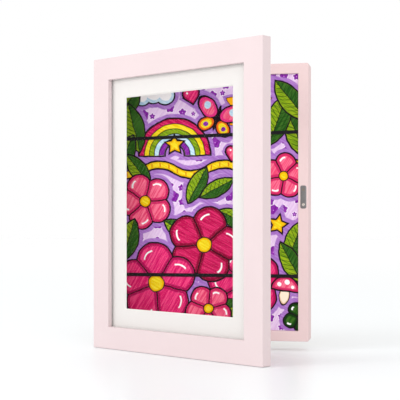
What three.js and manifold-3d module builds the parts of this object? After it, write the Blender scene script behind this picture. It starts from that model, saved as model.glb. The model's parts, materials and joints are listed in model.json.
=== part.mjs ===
// A children's art frame: a shallow case that stores drawings, behind a hinged door with a mat and a clear
// pane. Millimetres, +Z up. X runs across the case, from its hinge side to its latch side, and Y runs back
// from its front. The door is drawn shut and then turned open about its hinge pins.
import * as THREE from "three";
import { mergeVertices } from "three/addons/utils/BufferGeometryUtils.js";
import Module from "manifold-3d";

const wasm = await Module();
wasm.setup();

// Fits, and how finely round pieces are drawn
const seatGap = 0.3; // between a piece and what it seats on
const overrun = 1; // how far a cutting shape runs past a face
const mergeDistance = 1e-4;
const fineSides = 24;
const coarseSides = 12;
const cornerSteps = 4;

// Door: a flat moulding with a lip in front of the pane
const doorWidth = 304;
const doorHeight = 400;
const doorDepth = 15.5;
const faceWidth = 30;
const lipDepth = 6.4;
const doorRebateWidth = 5;
const doorEdgeBevel = 0.6;
const openAngle = THREE.MathUtils.degToRad(31);

// Pane and mat, both in the door's rebate
const paneThickness = 1.5;
const paneClearance = 0.7; // to the rebate's wall, all round
const matThickness = 1.5;
const matMargin = 56; // from the door's outer edge to the window
const pointLength = 13;
const pointWidth = 8;
const pointThickness = 0.5;
const pointGrip = 5; // the length of a point inside the wood
const pointHeightShares = [0.25, 0.75]; // of the door's height

// Case: four boards behind the door, set in from its edges
const sideOverhang = 12;
const topOverhang = 11;
const bottomOverhang = 13;
const doorGap = 1; // between the shut door and the case
const caseDepth = 34;
const wallWidth = 14;
const caseCornerRadius = 2;
const caseEdgeBevel = 0.5;
const caseRebateWidth = 6;
const panelThickness = 3;
const panelScrewInset = 45; // from the case's top and bottom

// Hinges
const hingeInset = 60; // from the case's top and bottom to the middle of a hinge
const leafHeight = 30;
const leafWidth = 11; // from the pin's axis to the leaf's free edge
const leafThickness = 1;
const pinRadius = 0.75;
const pinHeadRadius = 1.2;
const pinHeadHeight = 0.6;
const leafScrewSpacing = 18;

// Magnetic catch
const catchRise = 7; // above the middle of the case
const strikeHeight = 31;
const strikeWidth = 8;
const strikeThickness = 1;
const strikeProud = 0.3;
const strikeCornerRadius = 2.4;
const strikeScrewSpacing = 20.4;
const housingHeight = 31;
const housingWidth = 8;
const housingDepth = 6;
const housingScrewSpacing = 24;
const magnetLength = 16;
const magnetWidth = 4.4;
const magnetDepth = 4;

// Elastic straps across the drawings
const strapWidth = 4.6;
const strapThickness = 0.8;
const strapLap = 0.6; // from the back of a strap to the drawing
const strapGrip = 5; // the length of each end inside its slot
const upperStrapDrop = 96; // from the case's top to the middle of the upper strap
const upperStrapSlant = 6.8; // how much higher its latch end is
const lowerStrapRise = 88; // from the case's bottom to the lower strap

// What the case holds
const drawingRecess = 3.6; // from the case's front to the front drawing
const drawingClearance = 1; // round the drawings
const drawingThickness = 0.4;
const stackThickness = 10;
const boardThickness = 2.5;
const foamWidth = 30;
const foamSideInset = 20;
const foamEndInset = 30;

// Back: hangers, bumpers
const hangerLength = 44;
const hangerWidth = 7.2;
const hangerThickness = 0.8;
const hangerRise = 1.3; // how far its toothed middle stands off the case
const hangerTab = 9; // the length of each flat end
const hangerSlope = 2.5;
const hangerEdgeInset = 0.5; // from the case's edge
const toothCount = 7;
const toothPitch = 2.6;
const toothDepth = 1.6;
const bumperRadius = 5;
const bumperThickness = 2.6;
const bumperInset = 9; // from the case's edges to the middle of a bumper
const bumperDome = 0.8;

// Fasteners: head radius, depth of the head, shank radius and overall length
const leafScrew = { head: 1.8, headDepth: 0.9, shank: 0.9, length: 8 };
const strikeScrew = { head: 1.9, headDepth: 0.8, shank: 0.9, length: 9 };
const housingScrew = { head: 1.5, headDepth: 1, shank: 0.7, length: 9 };
const panelScrew = { head: 1.6, headDepth: 1, shank: 0.9, length: 10 };
const hangerNail = { head: 1.5, headDepth: 0.5, shank: 0.6, length: 8 };

// Sizes that follow from those above
const caseWidth = doorWidth - 2 * sideOverhang;
const caseHeight = doorHeight - topOverhang - bottomOverhang;
const innerWidth = caseWidth - 2 * wallWidth;
const innerHeight = caseHeight - 2 * wallWidth;
const doorLeft = -sideOverhang;
const doorBottom = -bottomOverhang;
const doorBack = -doorGap;
const doorFront = doorBack - doorDepth;
const knuckleRadius = leafThickness + doorGap / 2;
const pinX = -knuckleRadius - seatGap;
const pinY = -doorGap / 2;
const doorMiddleX = doorLeft + doorWidth / 2;
const doorMiddleZ = doorBottom + doorHeight / 2;
const hingeHeights = { lower: hingeInset, upper: caseHeight - hingeInset };
const leafEdge = pinX + leafWidth;
const leafScrewX = leafEdge / 2;
const catchX = caseWidth - wallWidth / 2;
const catchZ = caseHeight / 2 + catchRise;
const panelFront = caseDepth - panelThickness;
const ledgeWidth = wallWidth - caseRebateWidth;

// Materials
const pinkPaint = { color: 0xf6dfe0, roughness: 0.5, metalness: 0 };
const casePaint = { color: 0xf0d3d2, roughness: 0.5, metalness: 0 };
const clearAcrylic = { color: 0xf4f8fa, roughness: 0.05, metalness: 0, transparent: true, opacity: 0.2 };
const matBoard = { color: 0xf7f2ef, roughness: 0.9, metalness: 0 };
const zincSteel = { color: 0x8a8d90, roughness: 0.35, metalness: 1 };
const brightSteel = { color: 0xd6d4d0, roughness: 0.25, metalness: 1 };
const darkMagnet = { color: 0x3c3d40, roughness: 0.5, metalness: 0.8 };
const whitePlastic = { color: 0xe9e7e4, roughness: 0.4, metalness: 0 };
const blackElastic = { color: 0x16141a, roughness: 0.85, metalness: 0 };
const drawingPaper = { color: 0xd9b3dd, roughness: 0.8, metalness: 0 };
const plainPaper = { color: 0xf3f1ec, roughness: 0.9, metalness: 0 };
const hardboard = { color: 0xb98c5e, roughness: 0.85, metalness: 0 };
const greyFoam = { color: 0x6b6d70, roughness: 1, metalness: 0 };
const clearRubber = { color: 0xdadfe0, roughness: 0.4, metalness: 0 };

// A closed geometry as a solid that can be joined and cut
function solidOf(geometry) {
  const bare = geometry.clone();
  bare.deleteAttribute("normal");
  bare.deleteAttribute("uv");
  const merged = mergeVertices(bare, mergeDistance);
  return new wasm.Manifold(
    new wasm.Mesh({
      numProp: 3,
      vertProperties: merged.attributes.position.array,
      triVerts: new Uint32Array(merged.index.array),
    }),
  );
}

function geometryOf(solid) {
  const { vertProperties, triVerts } = solid.getMesh();
  const geometry = new THREE.BufferGeometry();
  geometry.setAttribute("position", new THREE.BufferAttribute(vertProperties, 3));
  geometry.setIndex(new THREE.BufferAttribute(triVerts, 1));
  geometry.computeVertexNormals();
  return geometry;
}

function cut(geometry, ...tools) {
  return geometryOf(tools.reduce((solid, tool) => solid.subtract(solidOf(tool)), solidOf(geometry)));
}

function join(geometry, ...others) {
  return geometryOf(others.reduce((solid, other) => solid.add(solidOf(other)), solidOf(geometry)));
}

function overlapOf(geometry, other) {
  return geometryOf(solidOf(geometry).intersect(solidOf(other)));
}

// A block between two values along each axis
function block([x0, x1], [y0, y1], [z0, z1]) {
  const made = new THREE.BoxGeometry(x1 - x0, y1 - y0, z1 - z0);
  return made.translate((x0 + x1) / 2, (y0 + y1) / 2, (z0 + z1) / 2);
}

const around = (middle, width) => [middle - width / 2, middle + width / 2];
const grown = ([low, high], by) => [low - by, high + by];

// A plate whose outline is drawn in X and Z and whose thickness runs back from y = 0
function plate(outline, thickness) {
  const made = new THREE.ExtrudeGeometry(outline, {
    depth: thickness,
    bevelEnabled: false,
    curveSegments: cornerSteps,
  });
  return made.rotateX(Math.PI / 2).translate(0, thickness, 0);
}

function roundedOutline(width, height, radius) {
  const [right, top] = [width / 2 - radius, height / 2 - radius];
  const outline = new THREE.Shape();
  outline.absarc(right, top, radius, 0, Math.PI / 2);
  outline.absarc(-right, top, radius, Math.PI / 2, Math.PI);
  outline.absarc(-right, -top, radius, Math.PI, Math.PI * 1.5);
  outline.absarc(right, -top, radius, Math.PI * 1.5, Math.PI * 2);
  return outline;
}

// A countersunk screw or a nail, its head flush with y = 0 and its shank running back
function fastener({ head, headDepth, shank, length }) {
  const profile = [
    [0, length],
    [shank, length - shank],
    [shank, headDepth],
    [head, 0],
    [0, 0],
  ];
  return turned(profile, coarseSides);
}

function fastenerHole({ head, headDepth, shank, length }) {
  const profile = [
    [0, length + seatGap],
    [shank + seatGap, length + seatGap],
    [shank + seatGap, headDepth],
    [head + seatGap, 0],
    [head + seatGap, -overrun],
    [0, -overrun],
  ];
  return turned(profile, coarseSides);
}

// A solid of revolution about the Y axis, from a profile of radii and places along Y
function turned(profile, sides) {
  const points = profile.map(([radius, y]) => new THREE.Vector2(radius, y)).reverse();
  return new THREE.LatheGeometry(points, sides);
}

// A moulding that stands upright on its outer edge, cut to 45 degrees at both ends. Its section runs inward
// from the outer edge along X and back from the front face along Y.
function mitredBar(section, length) {
  const bar = new THREE.ExtrudeGeometry(section, { depth: length, bevelEnabled: false });
  const { position } = bar.attributes;
  const jointGap = seatGap * Math.SQRT1_2;
  for (let i = 0; i < position.count; i++) {
    const inset = position.getX(i) + jointGap;
    position.setZ(i, position.getZ(i) > length / 2 ? length - inset : inset);
  }
  return bar;
}

// Four mitred bars round a rectangle, with its lower left corner at the origin
function barFrame(section, width, height) {
  const upright = mitredBar(section, height);
  const level = mitredBar(section, width);
  return {
    hingeSide: upright.clone(),
    bottom: level.clone().rotateY(-Math.PI / 2).translate(width, 0, 0),
    latchSide: upright.clone().rotateY(Math.PI).translate(width, 0, height),
    top: level.clone().rotateY(Math.PI / 2).translate(0, 0, height),
  };
}

function sectionOf(points) {
  return new THREE.Shape(points.map(([inward, back]) => new THREE.Vector2(inward, back)));
}

const root = new THREE.Group();
const caseGroup = new THREE.Group();
const doorGroup = new THREE.Group();
root.add(caseGroup, doorGroup);

function add(group, name, geometry, finish) {
  const mesh = new THREE.Mesh(geometry, new THREE.MeshStandardMaterial(finish));
  mesh.name = name;
  group.add(mesh);
  return mesh;
}

// A piece of the door, drawn where it lies when the door is shut
function addToDoor(name, geometry, finish) {
  return add(doorGroup, name, geometry.translate(-pinX, -pinY, 0), finish);
}

const addToCase = (name, geometry, finish) => add(caseGroup, name, geometry, finish);

// Places from a fastener's own frame: into the case's front, the back of the door and the case's back
const intoCase = (geometry, x, y, z) => geometry.translate(x, y, z);
const intoDoor = (geometry, x, z) => geometry.rotateZ(Math.PI).translate(x, doorBack, z);
const intoBack = (geometry, x, y, z) => geometry.rotateZ(Math.PI).translate(x, y, z);

// Hinges
const knuckleHeight = leafHeight / 3;
const leafZ = around(0, leafHeight);
const middleZ = around(0, knuckleHeight);

function knuckleBarrel() {
  const barrel = new THREE.CylinderGeometry(knuckleRadius, knuckleRadius, leafHeight, fineSides);
  return barrel.rotateX(Math.PI / 2).translate(pinX, pinY, 0);
}

function pinBore() {
  const radius = pinRadius + seatGap;
  const bore = new THREE.CylinderGeometry(radius, radius, leafHeight + 2 * overrun, fineSides);
  return bore.rotateX(Math.PI / 2).translate(pinX, pinY, 0);
}

// The space round the barrel, between two heights, that the other leaf's knuckles turn in
function knuckleRoom(heights) {
  const reach = knuckleRadius + seatGap;
  return block(around(pinX, 2 * reach), around(pinY, 2 * reach), heights);
}

const leafPlate = (depths) => block([pinX, leafEdge], depths, leafZ);

// The two screws of a leaf, or their holes, with the leaf's middle at height zero
const leafScrewHeights = [-leafScrewSpacing / 2, leafScrewSpacing / 2];

function caseLeafScrews(make) {
  return leafScrewHeights.map((z) => intoCase(make(leafScrew), leafScrewX, 0, z));
}

function doorLeafScrews(make) {
  return leafScrewHeights.map((z) => intoDoor(make(leafScrew), leafScrewX, z));
}

function caseLeaf() {
  const whole = join(leafPlate([0, leafThickness]), knuckleBarrel());
  const middleRoom = knuckleRoom(grown(middleZ, seatGap));
  return cut(whole, pinBore(), middleRoom, ...caseLeafScrews(fastenerHole));
}

function doorLeaf() {
  const whole = join(leafPlate([doorBack - leafThickness, doorBack]), knuckleBarrel());
  const lowRoom = knuckleRoom([leafZ[0] - overrun, middleZ[0]]);
  const highRoom = knuckleRoom([middleZ[1], leafZ[1] + overrun]);
  return cut(whole, pinBore(), lowRoom, highRoom, ...doorLeafScrews(fastenerHole));
}

function hingePin() {
  const top = leafHeight / 2 + seatGap;
  const profile = [
    [0, top + pinHeadHeight],
    [pinHeadRadius, top + pinHeadHeight],
    [pinHeadRadius, top],
    [pinRadius, top],
    [pinRadius, -top],
    [pinHeadRadius, -top],
    [pinHeadRadius, -top - pinHeadHeight],
    [0, -top - pinHeadHeight],
  ];
  return turned(profile, fineSides).rotateX(Math.PI / 2).translate(pinX, pinY, 0);
}

const mortiseDepth = leafThickness + seatGap;
const barrelReach = knuckleRadius + seatGap + pinHeadHeight;

// The seat of one leaf in the case's board, with the holes of its screws
function caseLeafSeat(z) {
  const seat = block([-overrun, leafEdge + seatGap], [-overrun, mortiseDepth], grown(leafZ, seatGap));
  return [seat, ...caseLeafScrews(fastenerHole)].map((tool) => tool.translate(0, 0, z));
}

// The seat of the other leaf in the door's stile, which also clears the barrel and the pin's heads
function doorLeafSeat(z) {
  const depths = [doorBack - mortiseDepth, doorBack + overrun];
  const leafSeat = block([pinX, leafEdge + seatGap], depths, grown(leafZ, seatGap));
  const barrelSeat = block(around(pinX, 2 * barrelReach), depths, grown(leafZ, 2 * seatGap + pinHeadHeight));
  return [leafSeat, barrelSeat, ...doorLeafScrews(fastenerHole)].map((tool) => tool.translate(0, 0, z));
}

function addHinges() {
  for (const [place, z] of Object.entries(hingeHeights)) {
    addToCase(`hinge_${place}_case_leaf`, caseLeaf().translate(0, 0, z), zincSteel);
    addToDoor(`hinge_${place}_door_leaf`, doorLeaf().translate(0, 0, z), zincSteel);
    addToCase(`hinge_${place}_pin`, hingePin().translate(0, 0, z), brightSteel);
    const [caseScrews, doorScrews] = [caseLeafScrews(fastener), doorLeafScrews(fastener)];
    ["low", "high"].forEach((row, i) => {
      addToCase(`hinge_${place}_case_screw_${row}`, caseScrews[i].translate(0, 0, z), brightSteel);
      addToDoor(`hinge_${place}_door_screw_${row}`, doorScrews[i].translate(0, 0, z), brightSteel);
    });
  }
}

// Magnetic catch: a steel strike on the case, and a magnet in a housing let into the door
const strikeFront = -strikeProud;

function strikePlate(clearance) {
  const [width, height] = [strikeWidth + 2 * clearance, strikeHeight + 2 * clearance];
  return plate(roundedOutline(width, height, strikeCornerRadius + clearance), strikeThickness + clearance);
}

function housingBlank(clearance) {
  const [width, height] = [housingWidth + 2 * clearance, housingHeight + 2 * clearance];
  return plate(roundedOutline(width, height, width / 2 - seatGap), housingDepth + clearance);
}

function magnetBlank(clearance) {
  return block(
    grown(around(0, magnetWidth), clearance),
    [0, magnetDepth + clearance],
    grown(around(0, magnetLength), clearance),
  );
}

// The lower and the upper screw of each half of the catch, or their holes
const catchScrewHeights = (spacing) => [catchZ - spacing / 2, catchZ + spacing / 2];

function strikeScrews(make) {
  const heights = catchScrewHeights(strikeScrewSpacing);
  return heights.map((z) => intoCase(make(strikeScrew), catchX, strikeFront, z));
}

function housingScrews(make) {
  const heights = catchScrewHeights(housingScrewSpacing);
  return heights.map((z) => intoDoor(make(housingScrew), catchX, z));
}

function addCatch() {
  const strike = strikePlate(0).translate(catchX, strikeFront, catchZ);
  addToCase("strike_plate", cut(strike, ...strikeScrews(fastenerHole)), zincSteel);
  const magnetRoom = join(magnetBlank(seatGap), magnetBlank(seatGap).translate(0, -overrun, 0));
  const housing = intoDoor(cut(housingBlank(0), magnetRoom), catchX, catchZ);
  addToDoor("catch_housing", cut(housing, ...housingScrews(fastenerHole)), whitePlastic);
  addToDoor("catch_magnet", intoDoor(magnetBlank(0), catchX, catchZ), darkMagnet);
  const rows = ["lower", "upper"];
  strikeScrews(fastener).forEach((screw, i) => addToCase(`strike_screw_${rows[i]}`, screw, brightSteel));
  housingScrews(fastener).forEach((screw, i) => addToDoor(`catch_screw_${rows[i]}`, screw, brightSteel));
}

function catchSeat() {
  const seat = housingBlank(seatGap);
  const mouth = housingBlank(seatGap).translate(0, -overrun, 0);
  return [intoDoor(join(seat, mouth), catchX, catchZ), ...housingScrews(fastenerHole)];
}

function strikeSeat() {
  const seat = strikePlate(seatGap);
  const mouth = strikePlate(seatGap).translate(0, -overrun, 0);
  return [join(seat, mouth).translate(catchX, strikeFront, catchZ), ...strikeScrews(fastenerHole)];
}

// Door: moulding, pane, mat and the points that hold them
const paneFront = doorFront + lipDepth + seatGap;
const matFront = paneFront + paneThickness + seatGap;
const pointFront = matFront + matThickness + seatGap;
const rebateWall = faceWidth - doorRebateWidth;
const paneX = [doorLeft + rebateWall + paneClearance, doorLeft + doorWidth - rebateWall - paneClearance];
const paneZ = [doorBottom + rebateWall + paneClearance, doorBottom + doorHeight - rebateWall - paneClearance];

function doorSection() {
  return sectionOf([
    [doorEdgeBevel, 0],
    [faceWidth - doorEdgeBevel, 0],
    [faceWidth, doorEdgeBevel],
    [faceWidth, lipDepth],
    [rebateWall, lipDepth],
    [rebateWall, doorDepth],
    [doorEdgeBevel, doorDepth],
    [0, doorDepth - doorEdgeBevel],
    [0, doorEdgeBevel],
  ]);
}

// A point, or the slot it is pressed into, on the hinge side of the door, with its middle at the given height
function pointBlank(z, clearance) {
  const tip = doorLeft + rebateWall - pointGrip;
  return block(
    grown([tip, tip + pointLength], clearance),
    grown([pointFront, pointFront + pointThickness], clearance),
    grown(around(z, pointWidth), clearance),
  );
}

// The same on the bottom rail, at the middle of the door
function railPointBlank(clearance) {
  const tip = doorBottom + rebateWall - pointGrip;
  return block(
    grown(around(doorMiddleX, pointWidth), clearance),
    grown([pointFront, pointFront + pointThickness], clearance),
    grown([tip, tip + pointLength], clearance),
  );
}

// The same point turned over to the opposite bar of the door
const pointTurnY = 2 * pointFront + pointThickness;

function acrossDoor(geometry) {
  return geometry.translate(-doorMiddleX, 0, 0).rotateZ(Math.PI).translate(doorMiddleX, pointTurnY, 0);
}

function upDoor(geometry) {
  return geometry.translate(0, 0, -doorMiddleZ).rotateX(Math.PI).translate(0, pointTurnY, doorMiddleZ);
}

function addDoor() {
  const bars = barFrame(doorSection(), doorWidth, doorHeight);
  for (const bar of Object.values(bars)) bar.translate(doorLeft, doorFront, doorBottom);
  const heights = pointHeightShares.map((share) => doorBottom + share * doorHeight);
  const hingeSlots = heights.map((z) => pointBlank(z, seatGap));
  const latchSlots = heights.map((z) => acrossDoor(pointBlank(z, seatGap)));
  const leafSeats = Object.values(hingeHeights).flatMap(doorLeafSeat);
  addToDoor("door_stile_hinge", cut(bars.hingeSide, ...hingeSlots, ...leafSeats), pinkPaint);
  addToDoor("door_stile_latch", cut(bars.latchSide, ...latchSlots, ...catchSeat()), pinkPaint);
  addToDoor("door_rail_bottom", cut(bars.bottom, railPointBlank(seatGap)), pinkPaint);
  addToDoor("door_rail_top", cut(bars.top, upDoor(railPointBlank(seatGap))), pinkPaint);
  addToDoor("door_pane", block(paneX, [paneFront, paneFront + paneThickness], paneZ), clearAcrylic);
  addToDoor("door_mat", matWithWindow(), matBoard);
  ["lower", "upper"].forEach((row, i) => {
    addToDoor(`point_hinge_${row}`, pointBlank(heights[i], 0), zincSteel);
    addToDoor(`point_latch_${row}`, acrossDoor(pointBlank(heights[i], 0)), zincSteel);
  });
  addToDoor("point_bottom", railPointBlank(0), zincSteel);
  addToDoor("point_top", upDoor(railPointBlank(0)), zincSteel);
}

// The mat's window has bevelled edges: it is wider at the front by the thickness of the board on each side
function matWithWindow() {
  const board = block(paneX, [matFront, matFront + matThickness], paneZ);
  const windowX = [doorLeft + matMargin, doorLeft + doorWidth - matMargin];
  const windowZ = [doorBottom + matMargin, doorBottom + doorHeight - matMargin];
  const opening = block(windowX, [matFront - overrun, matFront + matThickness + overrun], windowZ);
  const { position } = opening.attributes;
  for (let i = 0; i < position.count; i++) {
    const flare = position.getY(i) < matFront ? matThickness + overrun : -overrun;
    position.setX(i, position.getX(i) + Math.sign(position.getX(i) - doorMiddleX) * flare);
    position.setZ(i, position.getZ(i) + Math.sign(position.getZ(i) - doorMiddleZ) * flare);
  }
  return cut(board, opening);
}

// Case: boards, back panel and its screws
function caseSection() {
  return sectionOf([
    [caseEdgeBevel, 0],
    [wallWidth - caseEdgeBevel, 0],
    [wallWidth, caseEdgeBevel],
    [wallWidth, panelFront - seatGap],
    [ledgeWidth, panelFront - seatGap],
    [ledgeWidth, caseDepth],
    [0, caseDepth],
    [0, caseEdgeBevel],
  ]);
}

const panelX = [ledgeWidth + seatGap, caseWidth - ledgeWidth - seatGap];
const panelZ = [ledgeWidth + seatGap, caseHeight - ledgeWidth - seatGap];
const panelScrewX = (panelX[0] + wallWidth) / 2;
const panelScrewPlaces = {
  hinge_lower: [panelScrewX, panelScrewInset],
  hinge_upper: [panelScrewX, caseHeight - panelScrewInset],
  latch_lower: [caseWidth - panelScrewX, panelScrewInset],
  latch_upper: [caseWidth - panelScrewX, caseHeight - panelScrewInset],
};

function panelScrewHoles(side) {
  const places = Object.entries(panelScrewPlaces).filter(([name]) => name.startsWith(side));
  return places.map(([, [x, z]]) => intoBack(fastenerHole(panelScrew), x, caseDepth, z));
}

function addCase() {
  const outline = roundedOutline(caseWidth, caseHeight, caseCornerRadius);
  const envelope = plate(outline, caseDepth).translate(caseWidth / 2, 0, caseHeight / 2);
  const bars = barFrame(caseSection(), caseWidth, caseHeight);
  const rounded = (bar) => overlapOf(bar, envelope);
  const strapCuts = strapSlots();
  const leafSeats = Object.values(hingeHeights).flatMap(caseLeafSeat);
  const hingeCuts = [...strapCuts, ...leafSeats, ...panelScrewHoles("hinge"), ...nailHoles("side")];
  const latchCuts = [...strapCuts, ...strikeSeat(), ...panelScrewHoles("latch")];
  addToCase("case_side_hinge", cut(rounded(bars.hingeSide), ...hingeCuts), casePaint);
  addToCase("case_side_latch", cut(rounded(bars.latchSide), ...latchCuts), casePaint);
  addToCase("case_bottom", rounded(bars.bottom), casePaint);
  addToCase("case_top", cut(rounded(bars.top), ...nailHoles("top")), casePaint);
  const panel = block(panelX, [panelFront, caseDepth], panelZ);
  addToCase("back_panel", cut(panel, ...panelScrewHoles("")), hardboard);
  for (const [name, [x, z]] of Object.entries(panelScrewPlaces)) {
    addToCase(`panel_screw_${name}`, intoBack(fastener(panelScrew), x, caseDepth, z), brightSteel);
  }
}

// Straps: flat bands whose ends sit in slots in the side boards
const strapBack = drawingRecess - strapLap;
const straps = {
  lower: { leftZ: lowerStrapRise, rightZ: lowerStrapRise },
  upper: {
    leftZ: caseHeight - upperStrapDrop - upperStrapSlant / 2,
    rightZ: caseHeight - upperStrapDrop + upperStrapSlant / 2,
  },
};

function strapBand({ leftZ, rightZ }, clearance) {
  const tilt = Math.atan2(rightZ - leftZ, innerWidth);
  const length = Math.hypot(rightZ - leftZ, innerWidth) + 2 * strapGrip;
  const band = block(
    grown(around(0, length), clearance),
    grown([strapBack - strapThickness, strapBack], clearance),
    grown(around(0, strapWidth), clearance),
  );
  return band.rotateY(-tilt).translate(caseWidth / 2, 0, (leftZ + rightZ) / 2);
}

const strapSlots = () => Object.values(straps).map((strap) => strapBand(strap, seatGap));

function addStraps() {
  for (const [name, strap] of Object.entries(straps)) {
    addToCase(`elastic_strap_${name}`, strapBand(strap, 0), blackElastic);
  }
}

// Contents: front drawing, stored drawings, support board, foam
function addContents() {
  const sheetX = around(caseWidth / 2, innerWidth - 2 * drawingClearance);
  const sheetZ = around(caseHeight / 2, innerHeight - 2 * drawingClearance);
  let front = drawingRecess;
  const layer = (name, thickness, finish) => {
    addToCase(name, block(sheetX, [front, front + thickness], sheetZ), finish);
    front += thickness + seatGap;
  };
  layer("front_drawing", drawingThickness, drawingPaper);
  layer("stored_drawings", stackThickness, plainPaper);
  layer("support_board", boardThickness, hardboard);
  const foamY = [front, panelFront - seatGap];
  const foamZ = grown([0, caseHeight], -wallWidth - foamEndInset);
  const foamLeft = wallWidth + foamSideInset;
  const foamRight = caseWidth - foamLeft;
  addToCase("foam_block_hinge", block([foamLeft, foamLeft + foamWidth], foamY, foamZ), greyFoam);
  addToCase("foam_block_latch", block([foamRight - foamWidth, foamRight], foamY, foamZ), greyFoam);
}

// Hangers: a bent strip, flat at its ends and raised and toothed in the middle. It is drawn lying on y = 0
// with its teeth downwards, and then set on the back of the case.
const raisedStart = hangerTab + hangerSlope;
const nailReach = hangerLength / 2 - hangerTab / 2;
const hangerMiddle = hangerEdgeInset + hangerWidth / 2; // in from the case's edge
const hangerSeat = caseDepth + seatGap;

function hangerStrip() {
  const under = [
    [0, 0],
    [hangerTab, 0],
    [raisedStart, hangerRise],
    [hangerLength - raisedStart, hangerRise],
    [hangerLength - hangerTab, 0],
    [hangerLength, 0],
  ];
  const over = under.map(([x, y]) => [x, y + hangerThickness]).reverse();
  const strip = new THREE.ExtrudeGeometry(sectionOf([...under, ...over]), {
    depth: hangerWidth,
    bevelEnabled: false,
  }).translate(-hangerLength / 2, 0, -hangerWidth / 2);
  const toothX = (i) => (i - (toothCount - 1) / 2) * toothPitch;
  const teeth = Array.from({ length: toothCount }, (_, i) => toothGap(toothX(i)));
  const nails = [-1, 1].map((end) => hangerNailHole(end * nailReach));
  return cut(strip, ...teeth, ...nails);
}

// One notch of the toothed edge
function toothGap(x) {
  const low = -hangerWidth / 2;
  const half = toothPitch / 2 - seatGap / 2;
  const notch = new THREE.Shape([
    new THREE.Vector2(x - half, low - overrun),
    new THREE.Vector2(x + half, low - overrun),
    new THREE.Vector2(x + half, low),
    new THREE.Vector2(x, low + toothDepth),
    new THREE.Vector2(x - half, low),
  ]);
  const tall = hangerRise + hangerThickness + 2 * overrun;
  return plate(notch, tall).translate(0, -overrun, 0);
}

function hangerNailHole(x) {
  return fastenerHole(hangerNail).rotateX(Math.PI).translate(x, hangerThickness, 0);
}

// One hanger is on the top board, and the other is on the hinge side board, turned on its side
function onTopBoard(geometry) {
  return geometry.translate(caseWidth / 2, hangerSeat, caseHeight - hangerMiddle);
}

function onSideBoard(geometry) {
  return geometry.rotateY(-Math.PI / 2).translate(hangerMiddle, hangerSeat, caseHeight / 2);
}

const hangerPlaces = { top: onTopBoard, side: onSideBoard };

function nailHoles(place) {
  return [-1, 1].map((end) => hangerPlaces[place](hangerNailHole(end * nailReach)));
}

function addHangers() {
  for (const [name, place] of Object.entries(hangerPlaces)) {
    addToCase(`hanger_${name}`, place(hangerStrip()), zincSteel);
    for (const [row, end] of [["a", -1], ["b", 1]]) {
      const nail = fastener(hangerNail).rotateX(Math.PI).translate(end * nailReach, hangerThickness, 0);
      addToCase(`hanger_${name}_nail_${row}`, place(nail), brightSteel);
    }
  }
}

// Bumpers: round pads with a domed end, near the four corners of the back
function addBumpers() {
  const top = bumperThickness;
  const profile = [
    [0, top],
    [bumperRadius - 2 * bumperDome, top],
    [bumperRadius, top - bumperDome],
    [bumperRadius, 0],
    [0, 0],
  ];
  const columns = { hinge: bumperInset, latch: caseWidth - bumperInset };
  const rows = { lower: bumperInset, upper: caseHeight - bumperInset };
  for (const [side, x] of Object.entries(columns)) {
    for (const [row, z] of Object.entries(rows)) {
      const pad = turned(profile, fineSides).translate(x, caseDepth + seatGap, z);
      addToCase(`bumper_${side}_${row}`, pad, clearRubber);
    }
  }
}

addCase();
addContents();
addStraps();
addDoor();
addHinges();
addCatch();
addHangers();
addBumpers();

doorGroup.position.set(pinX, pinY, 0);
doorGroup.rotation.z = -openAngle;

// The origin is on the ground, under the middle of the open frame
root.updateMatrixWorld(true);
const bounds = new THREE.Box3().setFromObject(root, true);
const middle = bounds.getCenter(new THREE.Vector3());
root.position.set(-middle.x, -middle.y, -bounds.min.z);

export default root;
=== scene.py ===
import json
import math
import random

import bmesh
import bpy
from mathutils import Matrix, Vector

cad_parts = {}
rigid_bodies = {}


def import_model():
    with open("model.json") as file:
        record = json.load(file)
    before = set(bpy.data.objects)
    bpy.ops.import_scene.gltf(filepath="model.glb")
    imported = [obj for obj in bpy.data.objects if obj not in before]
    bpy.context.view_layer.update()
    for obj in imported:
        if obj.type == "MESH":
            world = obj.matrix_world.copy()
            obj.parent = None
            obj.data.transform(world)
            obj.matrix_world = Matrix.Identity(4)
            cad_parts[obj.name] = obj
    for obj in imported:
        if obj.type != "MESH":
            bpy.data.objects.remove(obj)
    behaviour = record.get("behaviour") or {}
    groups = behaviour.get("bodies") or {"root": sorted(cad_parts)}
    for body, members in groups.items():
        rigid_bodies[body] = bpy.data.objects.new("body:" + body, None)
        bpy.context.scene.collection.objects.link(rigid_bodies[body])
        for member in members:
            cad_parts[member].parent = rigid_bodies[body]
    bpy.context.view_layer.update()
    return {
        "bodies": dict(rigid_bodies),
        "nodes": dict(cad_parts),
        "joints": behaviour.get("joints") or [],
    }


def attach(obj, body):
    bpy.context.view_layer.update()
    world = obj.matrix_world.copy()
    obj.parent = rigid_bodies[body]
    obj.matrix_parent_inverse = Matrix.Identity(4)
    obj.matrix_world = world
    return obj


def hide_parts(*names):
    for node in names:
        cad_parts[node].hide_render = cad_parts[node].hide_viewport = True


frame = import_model()
nodes = frame["nodes"]
bodies = frame["bodies"]

MM = 0.001
TINY = 1e-6
STRAIGHT = 0.999
FACING = 0.9
SHARP_ANGLE = math.radians(40)
SMOOTH_ANGLE = math.radians(32)
ROWS = ("lower", "upper")
SIDES = ("hinge", "latch")

# The door is drawn shut, and turned open about its hinge pins when it is finished
door_hinge = frame["joints"][0]
PIN = Vector(door_hinge["pos_m"])
OPEN_TURN = math.radians(door_hinge["range_deg"][0])
swing_open = Matrix.Translation(PIN) @ Matrix.Rotation(OPEN_TURN, 4, "Z") @ Matrix.Translation(-PIN)
swing_shut = swing_open.inverted()

# Sizes of the door's moulding
FACE_WIDTH = 30 * MM
DOOR_REBATE = 5 * MM
LIP_DEPTH = 6.4 * MM
DOOR_CORNER = 0.7 * MM
DOOR_ARRIS = 0.3 * MM

# Sizes of the case's boards
WALL = 14 * MM
CASE_REBATE = 6 * MM
PANEL_REBATE_DEPTH = 3 * MM
CASE_CORNER = 2 * MM
CASE_ARRIS = 0.8 * MM

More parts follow.
